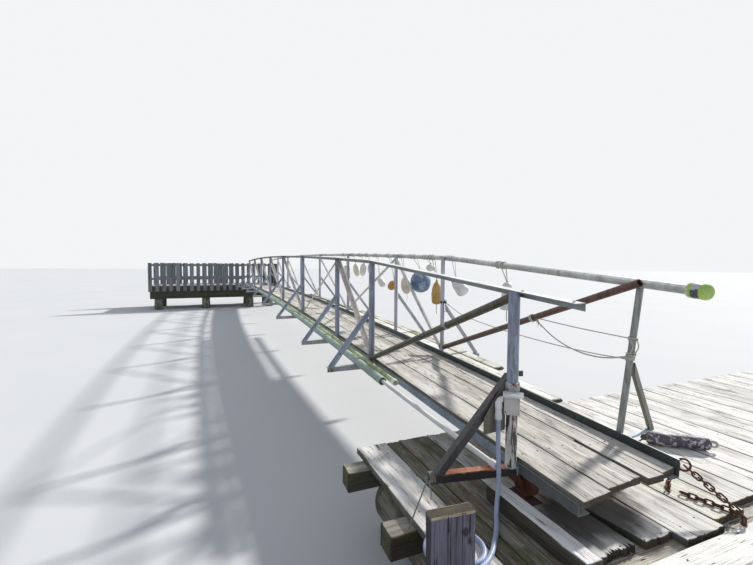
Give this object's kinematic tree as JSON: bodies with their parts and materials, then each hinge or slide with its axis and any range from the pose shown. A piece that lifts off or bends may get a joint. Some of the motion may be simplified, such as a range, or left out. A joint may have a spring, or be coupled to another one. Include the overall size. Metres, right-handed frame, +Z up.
{
  "type": "jetty with gangway, landing float and pier head",
  "caption": "Timber landing float, cambered metal truss gangway with lengthwise board deck and pipe handrail, and pile pier head with picket railing.",
  "frame": {"origin": "on the water plane, on the gangway's centreline under its first pair of posts, at the flat foot of the middle log", "axes": "+X along the gangway towards the shore, +Y to the left of that, +Z up"},
  "size_m": [20.915, 9.316, 2.2292],
  "materials": {
    "silver_paint": "weathered silver-grey paint on steel",
    "rusty_paint": "steel with worn paint and rust",
    "rusted_steel": "heavy rust",
    "weathered_boards": "sun-bleached rough softwood",
    "bearer_timber": "old wet timber",
    "log_wood": "weathered logs and piles",
    "picket_wood": "faded blue-grey stained boards",
    "post_wood": "purple-grey weathered timber",
    "pale_plastic": "pale green and white pipe",
    "box_plastic": "light grey",
    "float_plastic": "painted and bare floats",
    "pad_foam": "bright yellow-green foam with dark tape",
    "fender_vinyl": "worn navy and white",
    "old_rope": "weathered laid rope",
    "conduit_plastic": "blue-grey flexible conduit"
  },
  "bodies": {
    "pier": {"pier_piles": "log_wood", "pier_caps": "bearer_timber", "pier_stringers": "bearer_timber", "pier_boards": "weathered_boards", "front_railing": "picket_wood", "back_railing": "picket_wood", "end_railing": "picket_wood", "hinge_pins": "silver_paint", "hinge_brackets": "silver_paint"},
    "float": {"float_boards": "weathered_boards", "walkway_planks": "weathered_boards", "float_bearers": "bearer_timber", "float_logs": "log_wood", "curb": "weathered_boards", "mooring_post": "post_wood", "mooring_chain": "rusted_steel", "fender": "fender_vinyl"},
    "gangway": {"left_chord": "silver_paint", "right_chord": "silver_paint", "left_posts": "silver_paint", "right_posts": "silver_paint", "left_rail": "silver_paint", "right_rail": "silver_paint", "left_diagonals": "silver_paint", "right_diagonals": "rusty_paint", "transoms": "silver_paint", "left_braces": "silver_paint", "right_braces": "silver_paint", "gangway_boards": "weathered_boards", "roller_bracket": "rusted_steel", "hinge_lugs": "silver_paint", "switch_box": "box_plastic", "rail_pad": "pad_foam", "side_pipes": "pale_plastic", "side_planks": "weathered_boards", "hung_floats": "float_plastic", "chain_ring": "rusted_steel", "guard_ropes": "old_rope", "slack_rope": "old_rope", "long_rope": "old_rope", "conduit": "conduit_plastic", "conduit_end": "box_plastic"},
    "roller": {"toe_roller": "rusted_steel"}
  },
  "joints": [
    {"name": "float_heave", "type": "slide", "parent": "pier", "child": "float", "axis": [0, 0, 1], "range_m": [0, 0.6]},
    {"name": "gangway_hinge", "type": "hinge", "parent": "pier", "child": "gangway", "pos_m": [16.95, 0, 0.865], "axis": [0, 1, 0], "range_deg": [0, 2.05]},
    {"name": "roller_spin", "type": "hinge", "parent": "gangway", "child": "roller", "pos_m": [0.03, 0.31, 0.685], "axis": [0, 1, 0], "continuous": true}
  ],
  "couplings": [
    {"joint": "gangway_hinge", "follows": "float_heave", "rad_per_m": 0.0591}
  ]
}
